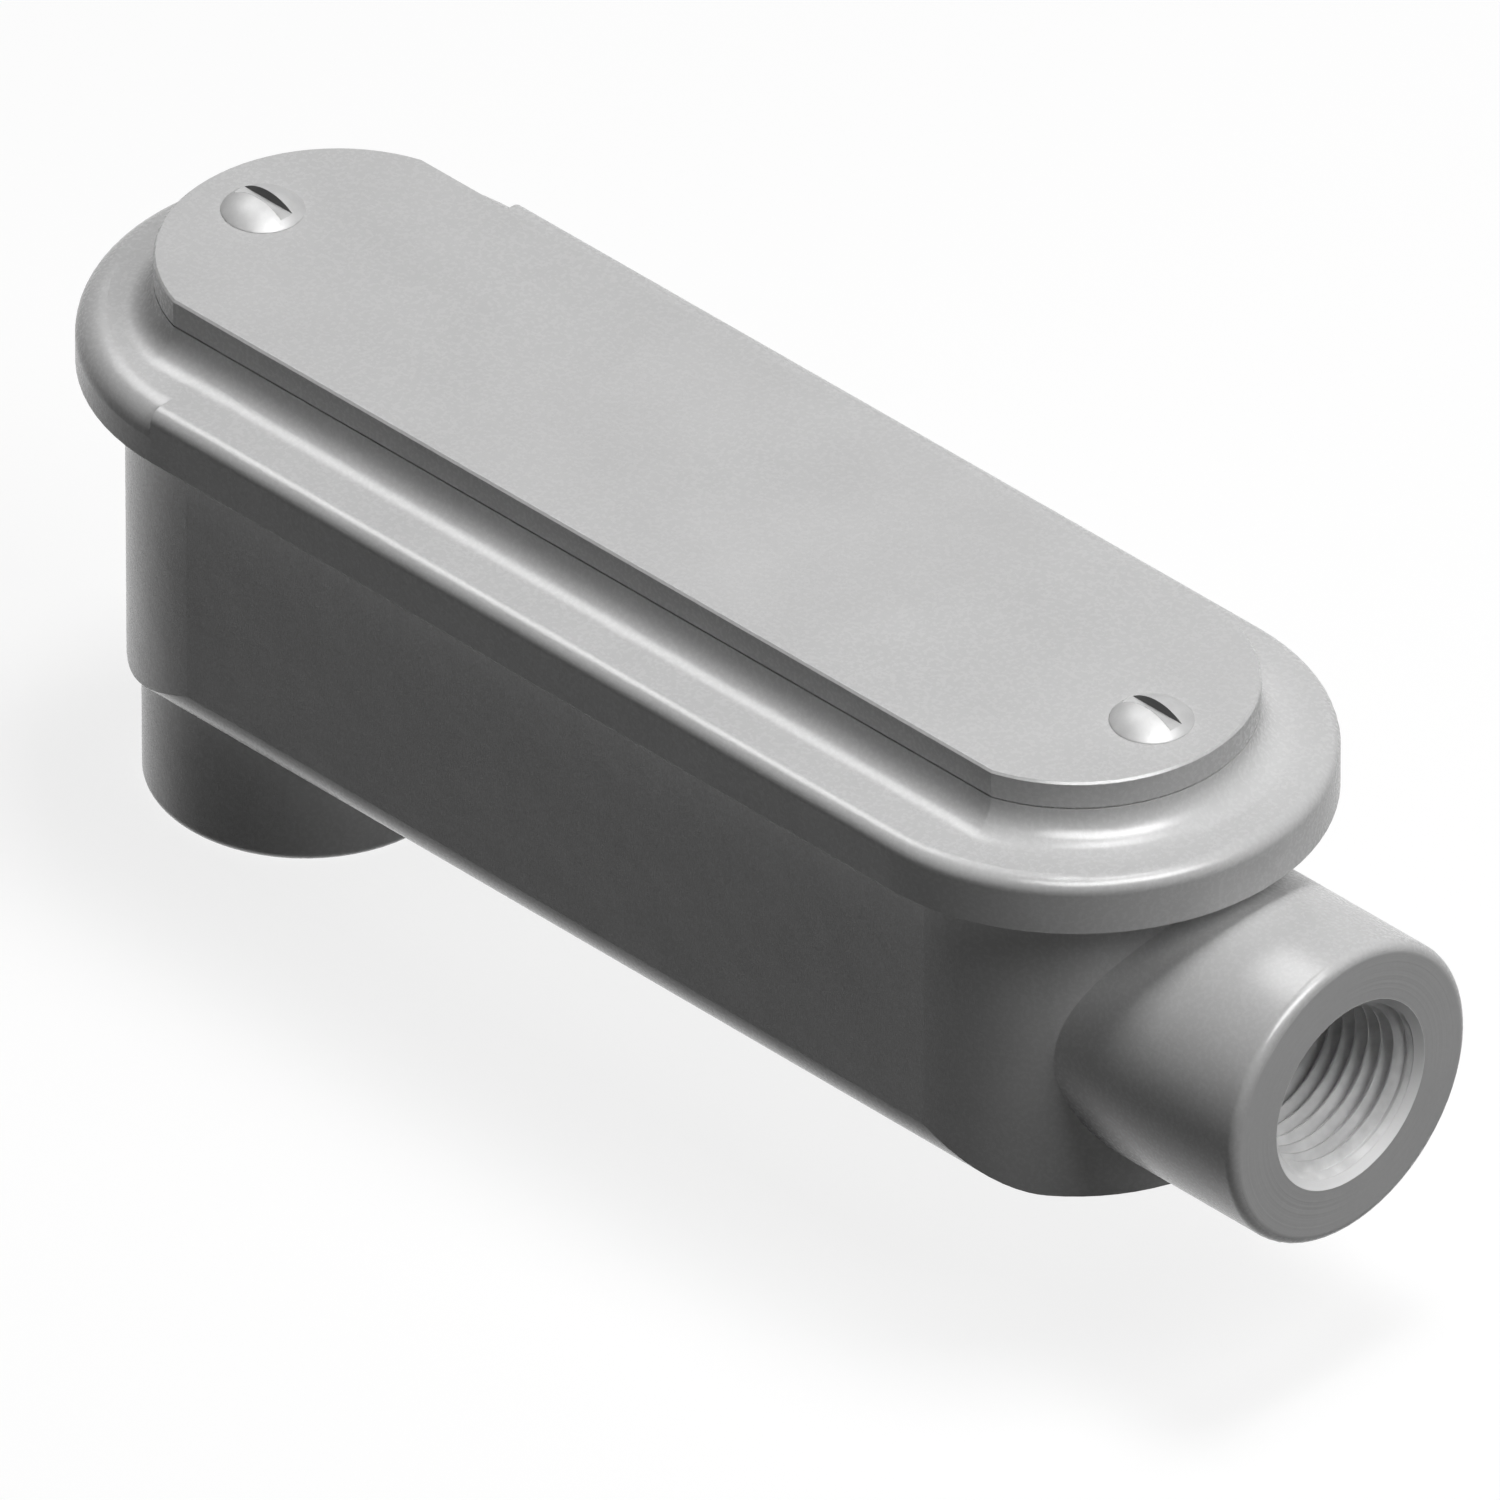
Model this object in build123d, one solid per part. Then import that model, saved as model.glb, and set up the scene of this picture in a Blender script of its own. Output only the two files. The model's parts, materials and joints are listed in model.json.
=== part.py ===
from build123d import *
from math import radians, sqrt, tan
import os

os.makedirs("parts", exist_ok=True)

# A cast conduit body, type LB, for 1/2 in threaded conduit. Millimetres.
# X runs along the wire chamber towards the end hub, Z up out of the cover.
# The origin is the centre of the back hub's mouth, on the face that meets the conduit.

# Wire chamber, an obround box
end_centres = 109.8         # between the centres of the two round ends
box_width = 45.0            # outside, also the diameter of the round ends
box_depth = 37.4            # outside, below the flange
long_edge_radius = 4.6      # rounding of the two long bottom edges
wall = 3.6                  # side and end walls
floor_wall = 3.8            # bottom wall
core_floor_radius = 4.0     # inside, round the floor

# Flange round the box
flange_overhang = 5.2       # beyond the box, all round
flange_thickness = 6.5
flange_edge_radius = 1.7    # top edge, on the long sides and the end-hub end
flange_back_radius = 3.4    # top edge, on the back-hub end

# Raised seat under the cover. Its ends are round but wider than its flat sides,
# so they meet at a slight corner.
seat_width = 37.0
seat_end_radius = 19.4
seat_height = 3.5           # also the radius of the cove at its foot

# Opening through the seat
opening_width = 29.0
opening_corner_radius = 4.0
lip_thickness = 5.6         # of the lip that carries the seat
lip_ledge = 0.4             # flat under the lip before its wall slopes out

# Cover and gasket
cover_thickness = 3.4
cover_edge_break = 0.25
gasket_thickness = 0.8
gasket_rim = 1.6            # of the cover, outside the gasket
gasket_play = 0.2           # between the gasket and that rim

# Cover screws, No. 10 with a slotted dome head, and their bosses
screw_setback = 8.3         # from the round end of the seat to the screw's axis
screw_diameter = 4.8
screw_length = 12.7         # under the head
screw_tip_chamfer = 0.7
head_diameter = 9.1
head_height = 2.0
slot_width = 1.65
slot_depth = 1.2
thread_play = 0.06          # radial, screw in its tapped hole
cover_play = 0.25           # radial, screw in the cover's hole
gasket_hole_play = 0.5      # radial, screw in the gasket's hole
screw_land = 5.5            # from a screw's axis to the opening
boss_radius = 5.2
boss_length = 16.0          # down from the seat
boss_edge_radius = 1.5
tapped_depth = 12.6         # down from the seat, without the drill point
tapped_chamfer = 0.4
drill_point_angle = 118

# Threaded hubs
hub_radius = 17.45
hub_edge_radius = 1.2
hub_inset = 0.05            # of each hub's side, inside the box face that it runs along
end_hub_length = 18.0       # beyond the box's end
back_hub_length = 18.4      # below the box's floor
bore_diameter = 20.4        # wall of the threaded length
mouth_chamfer = 0.8
thread_depth = 15.9         # from the hub's face to the conduit stop
throat_diameter = 15.4      # integral bushing
throat_lip_radius = 1.5     # on the conduit stop
throat_flare_radius = 2.0   # into the chamber

# Worked out from these
box_radius = box_width / 2
flange_radius = box_radius + flange_overhang
core_radius = box_radius - wall
bore_radius = bore_diameter / 2
throat_radius = throat_diameter / 2
screw_radius = screw_diameter / 2
screw_spacing = end_centres + 2 * (seat_end_radius - screw_setback)
opening_length = screw_spacing - 2 * screw_land

floor_z = back_hub_length
flange_z = floor_z + box_depth
land_z = flange_z + flange_thickness
seat_z = land_z + seat_height
cover_z = seat_z + cover_thickness
end_hub_z = floor_z + hub_inset + hub_radius

back_centre_x = box_radius - hub_inset - hub_radius
box_centre_x = back_centre_x + end_centres / 2
front_centre_x = back_centre_x + end_centres
end_hub_face_x = front_centre_x + box_radius + end_hub_length
screw_xs = {
    "cover_screw_back_end": box_centre_x - screw_spacing / 2,
    "cover_screw_hub_end": box_centre_x + screw_spacing / 2,
}
full_length = end_centres + 2 * flange_radius
on_base = (Align.CENTER, Align.CENTER, Align.MIN)


# Plan outlines, centred on the box


def obround(radius):
    return Pos(box_centre_x, 0) * SlotCenterToCenter(end_centres, 2 * radius)


def seat_outline(inset):
    ends = obround(seat_end_radius - inset)
    band = Pos(box_centre_x, 0) * Rectangle(full_length, seat_width - 2 * inset)
    return ends & band


def opening_outline():
    outline = RectangleRounded(opening_length, opening_width, opening_corner_radius)
    return Pos(box_centre_x, 0) * outline


def prism(outline, bottom, top):
    return Pos(0, 0, bottom) * extrude(outline, top - bottom)


# Outside of the casting


def outer_box():
    box = prism(obround(box_radius), floor_z, land_z)
    bar = Box(full_length, box_width, land_z - floor_z, align=on_base)
    low_edges = bar.edges().filter_by(Axis.X).group_by(Axis.Z)[0]
    bar = fillet(low_edges, long_edge_radius)
    return box & Pos(box_centre_x, 0, floor_z) * bar


def flange():
    plate = prism(obround(flange_radius), flange_z, land_z)
    plate = fillet(plate.edges().group_by(Axis.Z)[-1], flange_edge_radius)
    end = Cylinder(flange_radius, flange_thickness, align=on_base)
    end = fillet(end.edges().group_by(Axis.Z)[-1], flange_back_radius)
    end = Pos(back_centre_x, 0, flange_z) * end
    # The rounding steps from one radius to the other where the back end begins
    behind = Box(
        flange_radius,
        2 * flange_radius,
        flange_thickness,
        align=(Align.MAX, Align.CENTER, Align.MIN),
    )
    behind = Pos(back_centre_x, 0, flange_z) * behind
    return (plate - behind) + (end & behind)


def seat():
    foot_radius = seat_end_radius + seat_height
    foot_width = seat_width + 2 * seat_height
    disc = Cylinder(foot_radius, seat_height, align=on_base)
    disc -= Pos(0, 0, seat_height) * Torus(foot_radius, seat_height)
    ends = Pos(back_centre_x, 0, land_z) * disc
    ends += Pos(front_centre_x, 0, land_z) * disc
    middle = Box(end_centres, 2 * foot_radius, seat_height, align=on_base)
    ends += Pos(box_centre_x, 0, land_z) * middle
    section = Pos(0, seat_height / 2) * Rectangle(foot_width, seat_height)
    for side in (-1, 1):
        section -= Pos(side * foot_width / 2, seat_height) * Circle(seat_height)
    bar = extrude(Plane.YZ * section, full_length / 2, both=True)
    return ends & Pos(box_centre_x, 0, land_z) * bar


def hub(length):
    # Mouth at the origin, body along -Z, into the wall
    body = Cylinder(hub_radius, length, align=(Align.CENTER, Align.CENTER, Align.MAX))
    return fillet(body.edges().group_by(Axis.Z)[-1], hub_edge_radius)


# Inside of the casting


def core():
    hollow = prism(obround(core_radius), floor_z + floor_wall, seat_z - lip_thickness)
    hollow = fillet(hollow.edges().group_by(Axis.Z)[0], core_floor_radius)
    slope = core_radius - opening_width / 2 - lip_ledge
    hollow = chamfer(hollow.edges().group_by(Axis.Z)[-1], slope)
    for x in screw_xs.values():
        hollow -= boss(x)
    return hollow


def boss(x):
    # A column under the seat, run out to the end wall
    outwards = 1 if x > box_centre_x else -1
    outline = Pos(outwards * box_radius / 2, 0) * Rectangle(box_radius, 2 * boss_radius)
    outline += Circle(boss_radius)
    column = extrude(outline, boss_length)
    column = fillet(column.edges().group_by(Axis.Z)[0], boss_edge_radius)
    return Pos(x, 0, seat_z - boss_length) * column


def hub_bore(reach):
    # Mouth at the origin, bore along -Z, from the chamfer through the conduit stop and the
    # rounded throat to the chamber, whose wall is at reach
    stop = -thread_depth
    lip = throat_radius + throat_lip_radius
    flare = throat_radius + throat_flare_radius
    into_chamber = -reach - wall
    outline = Polyline(
        (0, into_chamber),
        (0, 0),
        (bore_radius + mouth_chamfer, 0),
        (bore_radius, -mouth_chamfer),
        (bore_radius, stop),
        (lip, stop),
    )
    outline += RadiusArc(
        (lip, stop), (throat_radius, stop - throat_lip_radius), -throat_lip_radius
    )
    outline += Line(
        (throat_radius, stop - throat_lip_radius),
        (throat_radius, -reach + throat_flare_radius),
    )
    outline += RadiusArc(
        (throat_radius, -reach + throat_flare_radius), (flare, -reach), -throat_flare_radius
    )
    outline += Polyline((flare, -reach), (flare, into_chamber), (0, into_chamber))
    return revolve(Plane.XZ * make_face(outline), Axis.Z)


def tapped_hole(x):
    radius = screw_radius + thread_play
    point_depth = radius / tan(radians(drill_point_angle / 2))
    outline = Polyline(
        (0, 0),
        (radius + tapped_chamfer, 0),
        (radius, -tapped_chamfer),
        (radius, -tapped_depth),
        (0, -tapped_depth - point_depth),
        (0, 0),
    )
    return Pos(x, 0, seat_z) * revolve(Plane.XZ * make_face(outline), Axis.Z)


def body_casting():
    # Each hub starts inside the wall that carries it
    box_at_hub = sqrt(box_radius**2 - hub_radius**2)
    end_hub = hub(end_hub_face_x - front_centre_x - box_at_hub + wall / 2)
    back_hub = hub(back_hub_length + floor_wall / 2)
    to_end_face = Pos(end_hub_face_x, 0, end_hub_z) * Rot(0, 90, 0)
    to_back_face = Rot(180, 0, 0)
    casting = outer_box() + flange() + seat()
    casting += to_end_face * end_hub
    casting += to_back_face * back_hub
    casting -= core()
    casting -= prism(opening_outline(), seat_z - lip_thickness, seat_z)
    casting -= to_end_face * hub_bore(end_hub_length + wall)
    casting -= to_back_face * hub_bore(back_hub_length + floor_wall)
    for x in screw_xs.values():
        casting -= tapped_hole(x)
    return casting


# The pieces on top


def cover_plate():
    plate = prism(seat_outline(0), seat_z, cover_z)
    edges = plate.edges().group_by(Axis.Z)
    plate = chamfer(edges[0] + edges[-1], cover_edge_break)
    plate -= prism(seat_outline(gasket_rim), seat_z, seat_z + gasket_thickness)
    for x in screw_xs.values():
        hole = Cylinder(screw_radius + cover_play, cover_thickness, align=on_base)
        plate -= Pos(x, 0, seat_z) * hole
    return plate


def cover_gasket():
    ring = seat_outline(gasket_rim + gasket_play) - opening_outline()
    for x in screw_xs.values():
        ring -= Pos(x, 0) * Circle(screw_radius + gasket_hole_play)
    return prism(ring, seat_z, seat_z + gasket_thickness)


def cover_screw(x):
    dome_radius = (head_diameter**2 / 4 + head_height**2) / (2 * head_height)
    outline = Polyline(
        (0, head_height),
        (0, -screw_length),
        (screw_radius - screw_tip_chamfer, -screw_length),
        (screw_radius, screw_tip_chamfer - screw_length),
        (screw_radius, 0),
        (head_diameter / 2, 0),
    )
    outline += RadiusArc((head_diameter / 2, 0), (0, head_height), -dome_radius)
    screw = revolve(Plane.XZ * make_face(outline), Axis.Z)
    slot = Box(head_diameter, slot_width, slot_depth, align=on_base)
    screw -= Pos(0, 0, head_height - slot_depth) * slot
    return Pos(x, 0, cover_z) * screw


pieces = {
    "body_casting": body_casting(),
    "cover_plate": cover_plate(),
    "cover_gasket": cover_gasket(),
}
for name, x in screw_xs.items():
    pieces[name] = cover_screw(x)

for name, piece in pieces.items():
    export_step(piece, f"parts/{name}.step")
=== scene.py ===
import json
from math import ceil, pi, radians, tan
import bmesh
import bpy
from mathutils import Matrix, Vector


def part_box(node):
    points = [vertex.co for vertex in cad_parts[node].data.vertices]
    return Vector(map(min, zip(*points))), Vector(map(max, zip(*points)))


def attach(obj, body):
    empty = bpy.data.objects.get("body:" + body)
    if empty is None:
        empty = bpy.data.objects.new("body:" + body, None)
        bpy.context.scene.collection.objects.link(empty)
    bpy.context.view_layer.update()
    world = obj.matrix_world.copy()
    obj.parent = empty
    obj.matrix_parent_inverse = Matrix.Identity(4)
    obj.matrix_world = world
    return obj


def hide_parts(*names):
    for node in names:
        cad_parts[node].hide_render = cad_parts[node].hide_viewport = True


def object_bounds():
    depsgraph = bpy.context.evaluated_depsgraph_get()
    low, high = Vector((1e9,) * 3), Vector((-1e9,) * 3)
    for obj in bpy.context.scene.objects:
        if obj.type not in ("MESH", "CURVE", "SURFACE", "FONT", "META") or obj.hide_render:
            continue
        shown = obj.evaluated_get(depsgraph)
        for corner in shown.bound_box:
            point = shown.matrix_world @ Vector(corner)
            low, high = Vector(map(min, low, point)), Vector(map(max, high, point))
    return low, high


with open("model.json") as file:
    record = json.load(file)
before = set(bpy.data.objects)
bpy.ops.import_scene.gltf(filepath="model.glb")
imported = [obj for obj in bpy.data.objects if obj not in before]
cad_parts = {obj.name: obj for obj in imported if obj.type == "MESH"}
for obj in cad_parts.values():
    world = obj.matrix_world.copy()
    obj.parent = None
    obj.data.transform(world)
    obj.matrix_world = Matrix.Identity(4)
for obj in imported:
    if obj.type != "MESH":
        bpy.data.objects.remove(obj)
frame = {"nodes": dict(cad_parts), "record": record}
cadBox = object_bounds()
nodes = frame["nodes"]
mounts = {mount["name"]: mount for mount in frame["record"]["mounts"]}
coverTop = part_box("cover_plate")[1].z
print("frame loaded")


# Modelling helpers

weldReach = 1e-6                # points nearer than this become one
turnReach = 1e-7                # the same, where the turns of a thread meet
flankAngle = radians(30)        # of a 60 degree thread, from square to its axis
smoothBelow = radians(35)       # a sharper edge stays an edge


def putAside():
    # nothing selected, so that an operator only meets the new piece
    bpy.ops.object.select_all(action="DESELECT")


def named(name):
    piece = bpy.context.object
    piece.name = name
    piece.data.name = name
    return piece


def takeUp(piece):
    putAside()
    piece.select_set(True)
    bpy.context.view_layer.objects.active = piece


def applyPlace():
    # leaves the object's place, turn and size in its mesh
    bpy.ops.object.transform_apply(location=True, rotation=True, scale=True)


def editPiece(piece):
    takeUp(piece)
    bpy.ops.object.mode_set(mode="EDIT")


def leaveEdit():
    bpy.ops.object.mode_set(mode="OBJECT")


def pickAll():
    bpy.ops.mesh.select_all(action="SELECT")


def pick(kind, test):
    # in edit mode, selects the edges or faces that pass a test on their place
    mesh = bpy.context.object.data
    bpy.ops.mesh.select_mode(type=kind)
    bpy.ops.mesh.select_all(action="DESELECT")
    work = bmesh.from_edit_mesh(mesh)
    for part in {"EDGE": work.edges, "FACE": work.faces}[kind]:
        part.select = test(part)
    work.select_flush_mode()
    bmesh.update_edit_mesh(mesh)


def addModifier(piece, kind, **settings):
    takeUp(piece)
    modifier = piece.modifiers.new(kind.lower(), kind)
    for name, value in settings.items():
        setattr(modifier, name, value)
    bpy.ops.object.modifier_apply(modifier=modifier.name)


def combine(piece, tool, operation):
    addModifier(piece, "BOOLEAN", operation=operation, object=tool, solver="EXACT")
    bpy.data.objects.remove(tool)


def settle(piece, place, outwards=Vector((0, 0, 1))):
    # turns the piece's +Z outwards and moves it to its place
    takeUp(piece)
    piece.rotation_mode = "QUATERNION"
    piece.rotation_quaternion = outwards.to_track_quat("Z", "Y")
    piece.location = place
    applyPlace()


def faceOutwards(piece):
    # welds the points that meet and turns every face outwards
    editPiece(piece)
    pickAll()
    bpy.ops.mesh.remove_doubles(threshold=weldReach)
    pickAll()
    bpy.ops.mesh.dissolve_degenerate(threshold=weldReach)
    pickAll()
    bpy.ops.mesh.normals_make_consistent(inside=False)
    leaveEdit()


def smoothOff(piece):
    takeUp(piece)
    bpy.ops.object.shade_smooth_by_angle(angle=smoothBelow)


def dress(piece, finish):
    piece.data.materials.clear()
    piece.data.materials.append(finish)


# Shader sums: mask * 2 + 1 adds the Math nodes for it


class Wire:
    def __init__(self, sheet, socket):
        self.sheet = sheet
        self.socket = socket

    def __add__(self, other):
        return self.sheet.sums("ADD", self, other)

    def __radd__(self, other):
        return self.sheet.sums("ADD", other, self)

    def __sub__(self, other):
        return self.sheet.sums("SUBTRACT", self, other)

    def __rsub__(self, other):
        return self.sheet.sums("SUBTRACT", other, self)

    def __mul__(self, other):
        return self.sheet.sums("MULTIPLY", self, other)

    def __rmul__(self, other):
        return self.sheet.sums("MULTIPLY", other, self)

    def __lt__(self, other):
        return self.sheet.sums("LESS_THAN", self, other)

    def __gt__(self, other):
        return self.sheet.sums("GREATER_THAN", self, other)


class Sheet:
    def __init__(self, tree):
        self.tree = tree
        tree.nodes.clear()

    def node(self, kind, settings=None, sockets=None, output=0):
        made = self.tree.nodes.new("ShaderNode" + kind)
        for name, value in (settings or {}).items():
            setattr(made, name, value)
        for name, value in (sockets or {}).items():
            if isinstance(value, Wire):
                self.tree.links.new(value.socket, made.inputs[name])
            else:
                made.inputs[name].default_value = value
        return Wire(self, made.outputs[output] if made.outputs else None)

    def sums(self, operation, *values):
        return self.node("Math", {"operation": operation}, dict(enumerate(values)))

    def place(self):
        # Object coordinates, which stay with the piece as it moves
        return self.node("TexCoord", output="Object")

    def split(self, vector):
        outputs = self.node("SeparateXYZ", {}, {0: vector}).socket.node.outputs
        return [Wire(self, output) for output in outputs]

    def across(self, first, second):
        # distance from an axis, from the two coordinates square to it
        return self.sums("SQRT", first * first + second * second)

    def blend(self, share, first, second):
        # 6 and 7 are the Mix node's two colours, and its output 2 is the mixed one
        settings = {"data_type": "RGBA", "clamp_factor": True}
        return self.node("Mix", settings, {0: share, 6: first, 7: second}, 2)

    def mottle(self, wander, level, spread):
        # a grey that wanders about its level as the noise does about 0
        low, high = grey(level * (1 - spread)), grey(level * (1 + spread))
        return self.blend(wander + 0.5, low, high)

    def noise(self, place, size, detail, roughness=0.5):
        # size is the width of one feature, in metres; the middle value comes out as 0
        sockets = {"Vector": place, "Scale": 1 / size, "Detail": detail, "Roughness": roughness}
        return self.node("TexNoise", {}, sockets) - 0.5

    def marks(self, travel, width):
        # tool marks, as noise along one distance
        sockets = {"W": travel, "Scale": 1 / width, "Detail": 2}
        return self.node("TexNoise", {"noise_dimensions": "1D"}, sockets) - 0.5

    def bump(self, height, normal=None):
        sockets = {"Strength": 1, "Distance": 1, "Height": height}
        if normal:
            sockets["Normal"] = normal
        return self.node("Bump", {}, sockets)

    def surface(self, **sockets):
        names = {name.replace("_", " "): value for name, value in sockets.items()}
        shader = self.node("BsdfPrincipled", {}, names)
        self.node("OutputMaterial", {}, {"Surface": shader})


def newFinish(name):
    finish = bpy.data.materials.new(name)
    finish.use_nodes = True
    return finish, Sheet(finish.node_tree)


def grey(level):
    return (level, level, level, 1)


# Finishes

castLook = {
    "paint": 0.56,              # lacquer over the cast skin
    "paintSpread": 0.12,
    "patchSize": 0.014,
    "patchShare": 0.6,          # of that spread
    "speckSize": 0.0005,
    "speckShare": 0.35,
    "roughness": 0.27,
    "roughnessSpread": 0.1,
    "gloss": 0.3,
    "grainSize": 0.0005,
    "grainHeight": 0.000016,
    "waveSize": 0.008,
    "waveHeight": 0.0001,
    "edgeSoftness": 0.00008,
}
cutLook = {
    "metal": 0.88,              # bare, where it is bored, threaded or tapped
    "metalSpread": 0.08,
    "patchSize": 0.002,
    "patchShare": 3,
    "roughness": 0.55,
    "roughnessSpread": 0.2,
    "gloss": 0.2,
    "grainSize": 0.00015,
    "grainHeight": 0.00001,
    "markWidth": 0.0005,        # of the tool marks
    "markHeight": 0.00002,
    "skinDepth": 0.00005,       # a point this near to a cut surface counts as on it
    "tappedReach": 0.0029,      # of a tapped hole's bare metal, out from its axis
    "tappedBelow": 0.002,       # and down from the screw's tip
}


def castZones(sheet, x, y, z):
    # masks of the faced and of the bored surfaces, and the distance along which the tool
    # marks of each follow one another
    skin = cutLook["skinDepth"]
    mount = mounts["end_hub"]
    wall = mount["dims"]["r_mm"] / 1000
    chamfer = cadBox[1].x - mount["pos_m"][0]
    mouth = wall + chamfer + skin
    depth = chamfer + mount["dims"]["length_mm"] / 1000 + skin
    endReach = sheet.across(y, z - mount["pos_m"][2])
    backReach = sheet.across(x, y)
    endBore = (x > cadBox[1].x - depth) * (endReach < mouth)
    backBore = (z < cadBox[0].z + depth) * (backReach < mouth)
    endFace = (x > cadBox[1].x - skin) * (1 - endBore)
    backFace = (z < cadBox[0].z + skin) * (1 - backBore)
    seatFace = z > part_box("body_casting")[1].z - skin
    faced = endFace + backFace + seatFace
    bored = endBore + backBore
    for node in ("cover_screw_back_end", "cover_screw_hub_end"):
        low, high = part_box(node)
        near = sheet.across(x - (low.x + high.x) / 2, y) < cutLook["tappedReach"]
        bored = bored + near * (z > low.z - cutLook["tappedBelow"])
    travel = endReach * endFace + backReach * backFace + y * seatFace
    travel = travel + x * endBore + z * backBore
    return faced, bored, travel


def paintedCasting(name, machined):
    look = castLook
    finish, sheet = newFinish(name)
    place = sheet.place()
    patches = sheet.noise(place, look["patchSize"], detail=3)
    specks = sheet.noise(place, look["speckSize"], detail=2)
    wander = patches * look["patchShare"] + specks * look["speckShare"]
    colour = sheet.mottle(wander, look["paint"], look["paintSpread"])
    roughness = specks * look["roughnessSpread"] + look["roughness"]
    grain = sheet.noise(place, look["grainSize"], detail=4, roughness=0.6)
    waves = sheet.noise(place, look["waveSize"], detail=2)
    height = grain * look["grainHeight"] + waves * look["waveHeight"]
    if machined:
        faced, bored, travel = castZones(sheet, *sheet.split(place))
        worked = faced + bored
        marks = sheet.marks(travel, cutLook["markWidth"])
        colour = sheet.blend(bored, colour, grey(cutLook["metal"]))
        roughness = roughness * (1 - worked) + worked * cutLook["roughness"]
        height = height * (1 - worked) + marks * cutLook["markHeight"] * worked
    soft = sheet.node("Bevel", {"samples": 6}, {"Radius": look["edgeSoftness"]})
    sheet.surface(
        Base_Color=colour,
        Roughness=roughness,
        Specular_IOR_Level=look["gloss"],
        Normal=sheet.bump(height, soft),
    )
    return finish


def cutMetal(name):
    look = cutLook
    finish, sheet = newFinish(name)
    place = sheet.place()
    patches = sheet.noise(place, look["patchSize"], detail=2)
    grain = sheet.noise(place, look["grainSize"], detail=3)
    sheet.surface(
        Base_Color=sheet.mottle(patches * look["patchShare"], look["metal"], look["metalSpread"]),
        Roughness=grain * look["roughnessSpread"] + look["roughness"],
        Specular_IOR_Level=look["gloss"],
        Normal=sheet.bump(grain * look["grainHeight"]),
    )
    return finish


coverScrew = {
    "shankRadius": 0.0024,
    "rootRadius": 0.00185,
    "pitch": 0.0254 / 24,
    "crestFlat": 0.0001,
    "buried": 0.0002,           # of the ridge, in the shank
    "tipChamfer": 0.0007,
    "inHead": 0.0003,           # of the shank
    "headHeight": 0.002,
    "slotWidth": 0.00165,
    "slotDepth": 0.0012,
    "edgeBreak": 0.00007,
    "brokenFrom": radians(40),  # a sharper edge of the head is broken
    "stepsPerTurn": 48,
    "domeSteps": 96,
}
screwLook = {
    "plating": 0.47,
    "platingSpread": 0.07,
    "patchSize": 0.0015,
    "patchShare": 3,
    "metallic": 0.12,
    "roughness": 0.52,
    "roughnessSpread": 0.25,
    "grainSize": 0.0003,
    "grainHeight": 0.000012,
    "slotWallShade": 0.1,            # painted shade on the slot's walls, which are also rough and not metallic
    "slotRoughness": 0.6,
    "wallReach": 0.00003,       # of that painted shade, to either side of the slot's wall
    "floorReach": 0.00001,      # and below the slot's floor
}


def platedSteel(name):
    look = screwLook
    finish, sheet = newFinish(name)
    place = sheet.place()
    patches = sheet.noise(place, look["patchSize"], detail=3)
    grain = sheet.noise(place, look["grainSize"], detail=3)
    plated = sheet.mottle(patches * look["patchShare"], look["plating"], look["platingSpread"])
    roughness = grain * look["roughnessSpread"] + look["roughness"]
    x, y, z = sheet.split(place)
    side = sheet.sums("ABSOLUTE", y)
    edge = coverScrew["slotWidth"] / 2
    slotFloor = coverTop + coverScrew["headHeight"] - coverScrew["slotDepth"]
    # painted shade: the slot's walls, down to its floor, get a dark grey, more roughness and no
    # metal
    wall = (side > edge - look["wallReach"]) * (side < edge + look["wallReach"])
    wall = wall * (z > slotFloor - look["floorReach"])
    sheet.surface(
        Base_Color=sheet.blend(wall, plated, grey(look["slotWallShade"])),
        Metallic=look["metallic"] * (1 - wall),
        Roughness=roughness * (1 - wall) + wall * look["slotRoughness"],
        Normal=sheet.bump(grain * look["grainHeight"]),
    )
    return finish


gasketLook = {
    "dark": 0.028,
    "pale": 0.06,               # where the rubber has bloomed
    "bloomSize": 0.008,
    "bloomShare": 3,
    "roughness": 0.7,
    "roughnessSpread": 0.3,
    "grainSize": 0.0004,
    "grainHeight": 0.00004,
}


def rubberSheet(name):
    look = gasketLook
    finish, sheet = newFinish(name)
    place = sheet.place()
    grain = sheet.noise(place, look["grainSize"], detail=3)
    bloom = sheet.noise(place, look["bloomSize"], detail=3) * look["bloomShare"]
    sheet.surface(
        Base_Color=sheet.blend(bloom + 0.5, grey(look["dark"]), grey(look["pale"])),
        Roughness=grain * look["roughnessSpread"] + look["roughness"],
        Normal=sheet.bump(grain * look["grainHeight"]),
    )
    return finish


threadMetal = cutMetal("threadMetal")
screwMetal = platedSteel("screwMetal")
dress(nodes["body_casting"], paintedCasting("castSkin", machined=True))
dress(nodes["cover_plate"], paintedCasting("coverSkin", machined=False))
dress(nodes["cover_gasket"], rubberSheet("gasketRubber"))
print("finishes made")


# Threads


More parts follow.
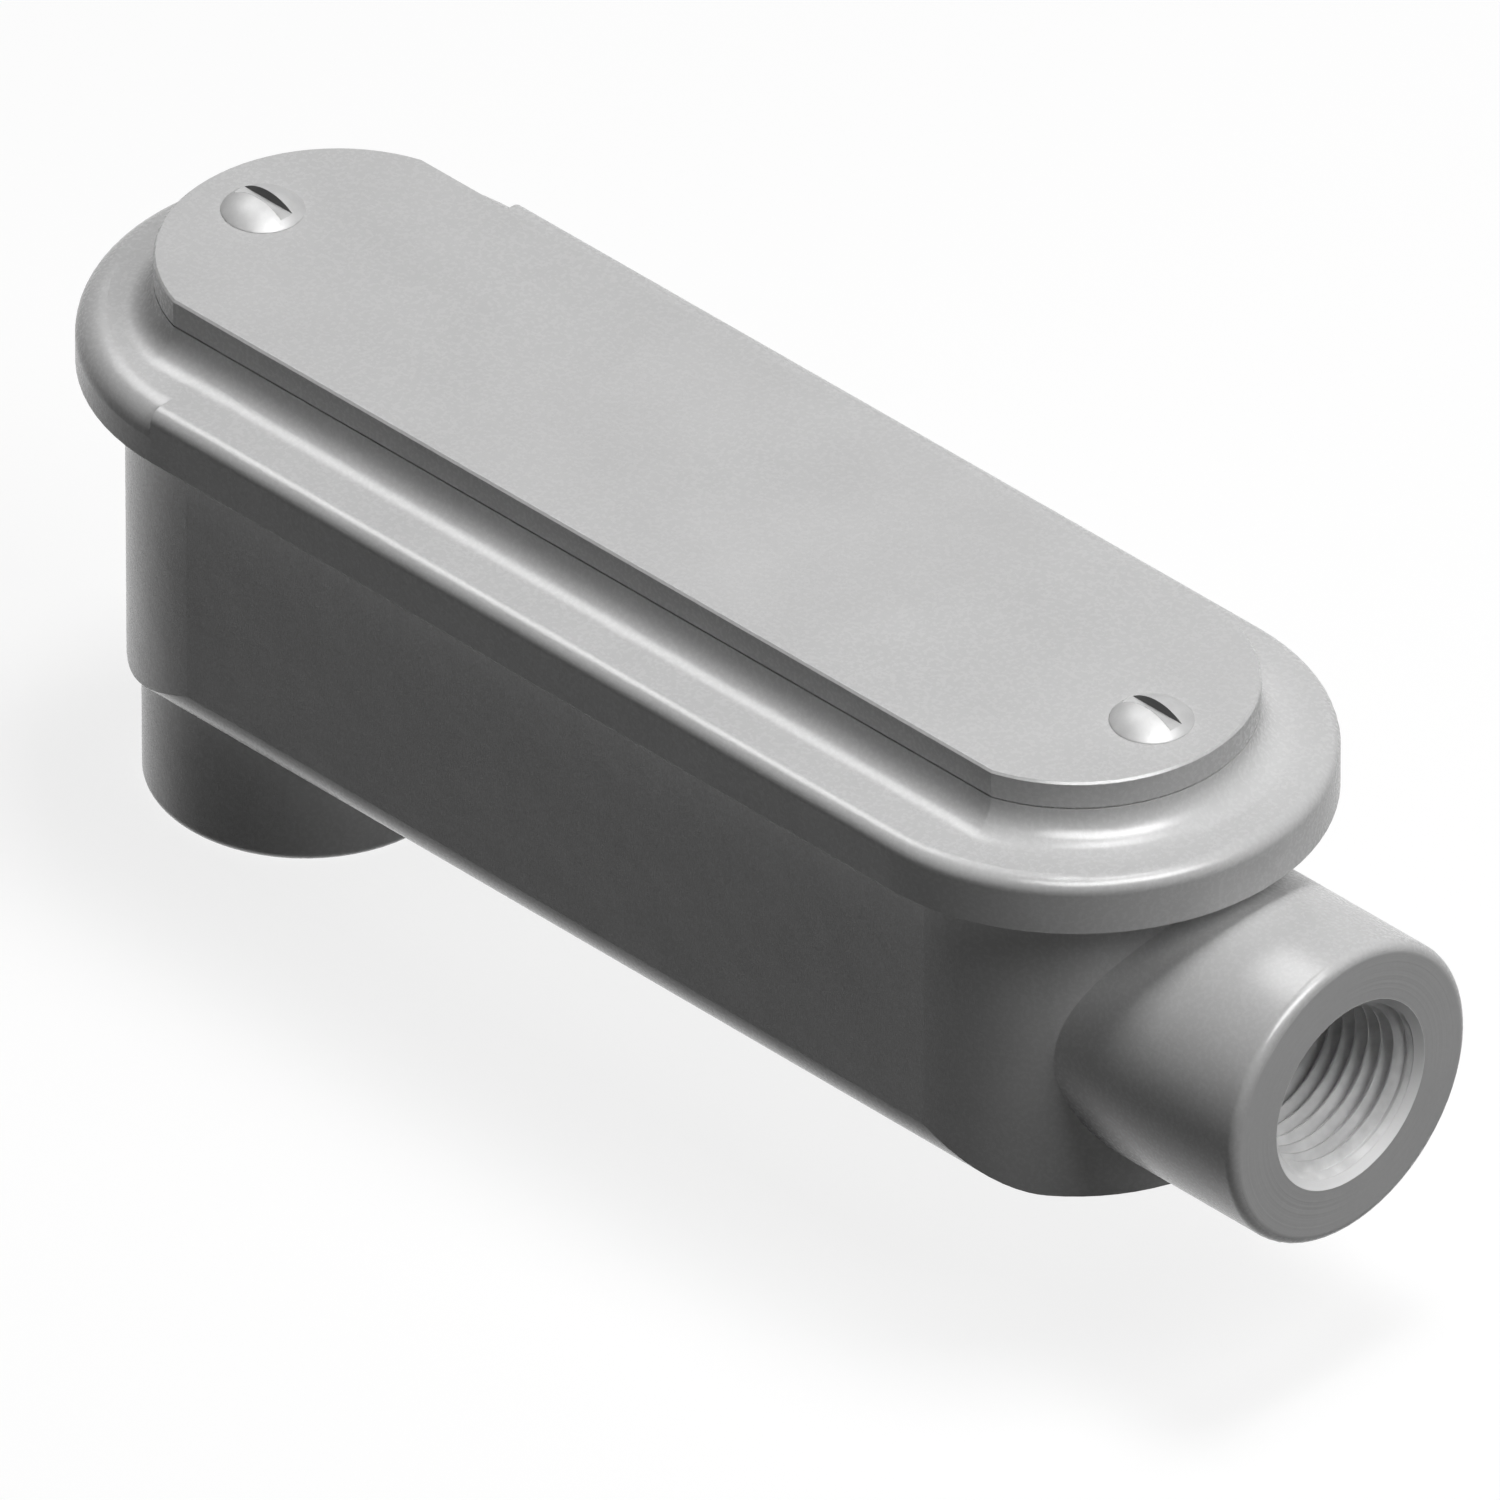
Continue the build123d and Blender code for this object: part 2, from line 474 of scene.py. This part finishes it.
def threadRidge(name, look, crest, foot, buried, bottom, top):
    # One ridge, wound right-handed about Z from bottom to top. Its section runs from the crest
    # to the foot and on into the metal by buried, inwards or outwards as the foot lies.
    steps = look["stepsPerTurn"]
    flank = abs(foot - crest)
    away = 1 if foot > crest else -1
    putAside()
    bpy.ops.mesh.primitive_plane_add(size=1, rotation=(pi / 2, 0, 0))
    ridge = named(name)
    applyPlace()
    editPiece(ridge)
    bpy.ops.transform.resize(value=(flank, 1, look["crestFlat"]))
    bpy.ops.transform.translate(value=((crest + foot) / 2, 0, bottom))
    pick("EDGE", lambda edge: all(away * (v.co.x - crest) > flank / 2 for v in edge.verts))
    spread = (look["crestFlat"] + 2 * flank * tan(flankAngle)) / look["crestFlat"]
    bpy.ops.transform.resize(value=(1, 1, spread))
    bpy.ops.mesh.extrude_region_move(TRANSFORM_OT_translate={"value": (away * buried, 0, 0)})
    bpy.ops.mesh.select_mode(type="FACE")
    pickAll()
    bpy.ops.mesh.dissolve_faces()
    bpy.ops.mesh.delete(type="ONLY_FACE")
    leaveEdit()
    addModifier(
        ridge, "SCREW",
        axis="Z", angle=2 * pi, screw_offset=look["pitch"],
        iterations=ceil((top - bottom) / look["pitch"]),
        steps=steps, render_steps=steps, use_merge_vertices=False,
    )
    editPiece(ridge)
    pickAll()
    bpy.ops.mesh.remove_doubles(threshold=turnReach)
    pickAll()
    bpy.ops.mesh.fill_holes(sides=0)
    pickAll()
    bpy.ops.mesh.normals_make_consistent(inside=False)
    leaveEdit()
    return ridge


pipeThread = {
    "pitch": 0.0254 / 14,
    "crest": 0.00916,           # radius at the hub's face
    "crestFlat": 0.00018,
    "buried": 0.00065,          # of the ridge, in the hub's wall
    "taper": 1 / 32,            # of the radius, along the thread
    "stopGap": 0.0006,          # short of the conduit stop
    "leadAngle": radians(30),   # between the axis and the cone of the first turns
    "clear": 0.00006,           # kept under the chamfer's surface
    "stepsPerTurn": 72,
}


def countersink(radius, chamfer):
    # The cutter of the thread's mouth: a slim cone, in which the first turns start
    # shallow, and above it the 45 degree cone of the chamfer
    depth = radius / tan(pipeThread["leadAngle"])
    above = 0.002               # past the hub's face
    putAside()
    bpy.ops.mesh.primitive_cone_add(
        vertices=pipeThread["stepsPerTurn"], radius1=0, radius2=radius, depth=depth,
        location=(0, 0, -chamfer - depth / 2),
    )
    cutter = named("countersink")
    applyPlace()
    editPiece(cutter)
    pick("FACE", lambda face: all(v.co.z > -chamfer - depth / 2 for v in face.verts))
    bpy.ops.mesh.extrude_region_move(TRANSFORM_OT_translate={"value": (0, 0, chamfer + above)})
    widening = (radius + chamfer + above) / radius
    bpy.ops.transform.resize(value=(widening, widening, 1))
    leaveEdit()
    return cutter


def hubThread(name, mount, face):
    wall = mount["dims"]["r_mm"] / 1000
    chamfer = (face - Vector(mount["pos_m"])).length
    depth = chamfer + mount["dims"]["length_mm"] / 1000
    thread = threadRidge(
        name, pipeThread, crest=pipeThread["crest"], foot=wall, buried=pipeThread["buried"],
        bottom=pipeThread["stopGap"] - depth, top=chamfer,
    )
    narrowing = pipeThread["taper"] * thread.dimensions.z / pipeThread["crest"]
    addModifier(thread, "SIMPLE_DEFORM", deform_method="TAPER", deform_axis="Z", factor=narrowing)
    combine(thread, countersink(wall + pipeThread["clear"], chamfer), "DIFFERENCE")
    faceOutwards(thread)
    settle(thread, face, Vector(mount["axis"]))
    smoothOff(thread)
    dress(thread, threadMetal)
    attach(thread, "body")


endMouth = mounts["end_hub"]["pos_m"]
hubThread("endHubThread", mounts["end_hub"], Vector((cadBox[1].x, endMouth[1], endMouth[2])))
backMouth = mounts["back_hub"]["pos_m"]
hubThread("backHubThread", mounts["back_hub"], Vector((backMouth[0], backMouth[1], cadBox[0].z)))
print("hub threads cut")


# Cover screws, modelled with the cover's top at Z = 0


def roundBar(name, radius, length):
    # from the screw's tip to a little way into its head
    inHead = coverScrew["inHead"]
    putAside()
    bpy.ops.mesh.primitive_cylinder_add(
        vertices=coverScrew["stepsPerTurn"], radius=radius, depth=length + inHead,
        location=(0, 0, (inHead - length) / 2),
    )
    bar = named(name)
    applyPlace()
    return bar


def screwShank(length):
    look = coverScrew
    shank = roundBar("shank", look["rootRadius"], length)
    ridge = threadRidge(
        "ridge", look, crest=look["shankRadius"], foot=look["rootRadius"], buried=look["buried"],
        bottom=-length - look["pitch"], top=look["inHead"],
    )
    combine(shank, ridge, "UNION")
    # both ends are cut, and the tip chamfered, by what lies inside a slightly wider bar
    around = 0.0002
    blank = roundBar("blank", look["shankRadius"] + around, length)
    editPiece(blank)
    pick("EDGE", lambda edge: all(v.co.z < 0 for v in edge.verts))
    bpy.ops.mesh.bevel(offset=look["tipChamfer"] + around, segments=1)
    leaveEdit()
    combine(shank, blank, "INTERSECT")
    return shank


def domeHead(radius, height):
    look = coverScrew
    sphere = (radius**2 + height**2) / (2 * height)
    putAside()
    bpy.ops.mesh.primitive_uv_sphere_add(
        segments=look["domeSteps"], ring_count=look["domeSteps"], radius=sphere,
        location=(0, 0, height - sphere),
    )
    head = named("head")
    applyPlace()
    editPiece(head)
    pickAll()
    bpy.ops.mesh.bisect(plane_co=(0, 0, 0), plane_no=(0, 0, 1), use_fill=True, clear_inner=True)
    leaveEdit()
    faceOutwards(head)
    depth = look["slotDepth"]
    above = 0.0005              # the slot's cutter stands out of the dome
    putAside()
    bpy.ops.mesh.primitive_cube_add(size=1, location=(0, 0, height + (above - depth) / 2))
    slot = named("slot")
    slot.scale = (3 * radius, look["slotWidth"], depth + above)    # out at both sides
    applyPlace()
    combine(head, slot, "DIFFERENCE")
    faceOutwards(head)
    addModifier(
        head, "BEVEL",
        width=look["edgeBreak"], segments=2, limit_method="ANGLE", angle_limit=look["brokenFrom"],
    )
    return head


def makeScrew(node):
    low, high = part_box(node)
    screw = domeHead((high.x - low.x) / 2, coverScrew["headHeight"])
    combine(screw, screwShank(coverTop - low.z), "UNION")
    faceOutwards(screw)
    smoothOff(screw)
    dress(screw, screwMetal)
    return screw


screws = {
    "screwBackEnd": ("cover_screw_back_end", "screw_back_end"),
    "screwHubEnd": ("cover_screw_hub_end", "screw_hub_end"),
}
pattern = makeScrew("cover_screw_back_end")
for name, (node, body) in screws.items():
    low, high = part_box(node)
    screw = pattern.copy()
    screw.data = pattern.data.copy()
    screw.name = screw.data.name = name
    bpy.context.scene.collection.objects.link(screw)
    settle(screw, Vector(((low.x + high.x) / 2, (low.y + high.y) / 2, coverTop)))
    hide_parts(node)
    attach(screw, body)
bpy.data.objects.remove(pattern)
print("cover screws made")


# Floor, light and camera

studio = {
    "floorSize": 8.0,
    "floorSeen": 0.2,           # as the camera and mirrors see it, where the lamps reach it
    "floorGlow": 0.82,          # as they see it everywhere, so that the shadow stays light
    "floorBounce": 0.02,        # as it lights the part
    "skyLight": 0.02,           # as it lights the part
}


def whiteSeen(sheet):
    # 1 where the camera, a mirror or glass sees the surface, 0 where it lights the part
    rays = ("Is Camera Ray", "Is Glossy Ray", "Is Transmission Ray")
    first, second, third = (sheet.node("LightPath", output=ray) for ray in rays)
    return sheet.sums("MAXIMUM", sheet.sums("MAXIMUM", first, second), third)


putAside()
bpy.ops.mesh.primitive_plane_add(size=studio["floorSize"], location=(0, 0, cadBox[0].z))
floor = named("floor")
applyPlace()
floor.visible_shadow = False    # so that the lamp below it reaches the part
floorFinish, sheet = newFinish("floorFinish")
seen = whiteSeen(sheet)
colour = sheet.blend(seen, grey(studio["floorBounce"]), grey(studio["floorSeen"]))
matt = sheet.node("BsdfDiffuse", {}, {"Color": colour})
glow = sheet.node("Emission", {}, {"Color": grey(1), "Strength": seen * studio["floorGlow"]})
sheet.node("OutputMaterial", {}, {"Surface": sheet.node("AddShader", {}, {0: matt, 1: glow})})
dress(floor, floorFinish)

world = bpy.data.worlds.new("studioAir")
bpy.context.scene.world = world
world.use_nodes = True
sheet = Sheet(world.node_tree)
backdrop = sheet.node("Background", {}, {"Color": grey(1), "Strength": 1})
air = sheet.node("Background", {}, {"Color": grey(1), "Strength": studio["skyLight"]})
mixed = sheet.node("MixShader", {}, {0: whiteSeen(sheet), 1: air, 2: backdrop})
sheet.node("OutputWorld", {}, {"Surface": mixed})

# "shines" lets the gloss mirror a lamp, and "lights" lets it fall on the surface itself
lamps = {
    "overhead": {
        "from": (0.1, 0.13, 1.0), "distance": 1.3, "size": (0.4, 0.4), "power": 10.2,
        "lights": True, "shines": True,
    },
    "endSide": {
        "from": (0.7, 0.1, 0.75), "distance": 1.2, "size": (0.6, 0.6), "power": 6.0,
        "lights": True, "shines": True,
    },
    "backSide": {
        "from": (-1.0, 0.05, -0.25), "distance": 1.2, "size": (0.4, 0.4), "power": 4.3,
        "lights": True, "shines": False,
    },
    "under": {
        "from": (-0.3, 0.03, -1.0), "distance": 0.9, "size": (0.35, 0.35), "power": 5.2,
        "lights": True, "shines": False,
    },
    "sheen": {
        "from": (0.5, -0.2, 0.8), "distance": 1.2, "size": (1.0, 0.55), "power": 36.0,
        "lights": False, "shines": True,
    },
    "edgeSheen": {
        "from": (-0.58, 0.1, 0.81), "distance": 1.2, "size": (0.6, 0.6), "power": 10.0,
        "lights": False, "shines": True,
    },
}
partCentre = (cadBox[0] + cadBox[1]) / 2
for name, lamp in lamps.items():
    towards = Vector(lamp["from"]).normalized()
    putAside()
    bpy.ops.object.light_add(type="AREA", location=partCentre + towards * lamp["distance"])
    light = bpy.context.object
    light.name = name
    light.rotation_euler = towards.to_track_quat("Z", "Y").to_euler()
    light.data.shape = "RECTANGLE"
    light.data.size, light.data.size_y = lamp["size"]
    light.data.energy = lamp["power"]
    light.visible_camera = False
    light.visible_diffuse = lamp["lights"]
    light.visible_glossy = lamp["shines"]

# The picture is drawn without perspective, so a very long lens stands in for that
camera = {
    "lens": 1500,
    "sensor": 36,
    "width": 0.15744,           # of the picture, at the part
    "aimRight": 0.00475,        # from the middle of the cover's top
    "aimUp": -0.03014,
    "clipEnd": 3,               # times the distance to the part
}
coverLow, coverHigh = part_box("cover_plate")
right = Vector((1, 1, 0)).normalized()
back = Vector((1, -1, 1)).normalized()
up = back.cross(right)
aim = Vector(((coverLow.x + coverHigh.x) / 2, 0, coverTop))
aim += right * camera["aimRight"] + up * camera["aimUp"]
distance = camera["width"] * camera["lens"] / camera["sensor"]
lens = bpy.data.cameras.new("camera")
lens.lens = camera["lens"]
lens.sensor_width = camera["sensor"]
lens.clip_end = camera["clipEnd"] * distance
view = bpy.data.objects.new("camera", lens)
bpy.context.scene.collection.objects.link(view)
turn = Matrix((right, up, back)).transposed().to_4x4()
view.matrix_world = Matrix.Translation(aim + back * distance) @ turn
bpy.context.scene.camera = view
bpy.context.scene.view_settings.view_transform = "Standard"
print("studio set")
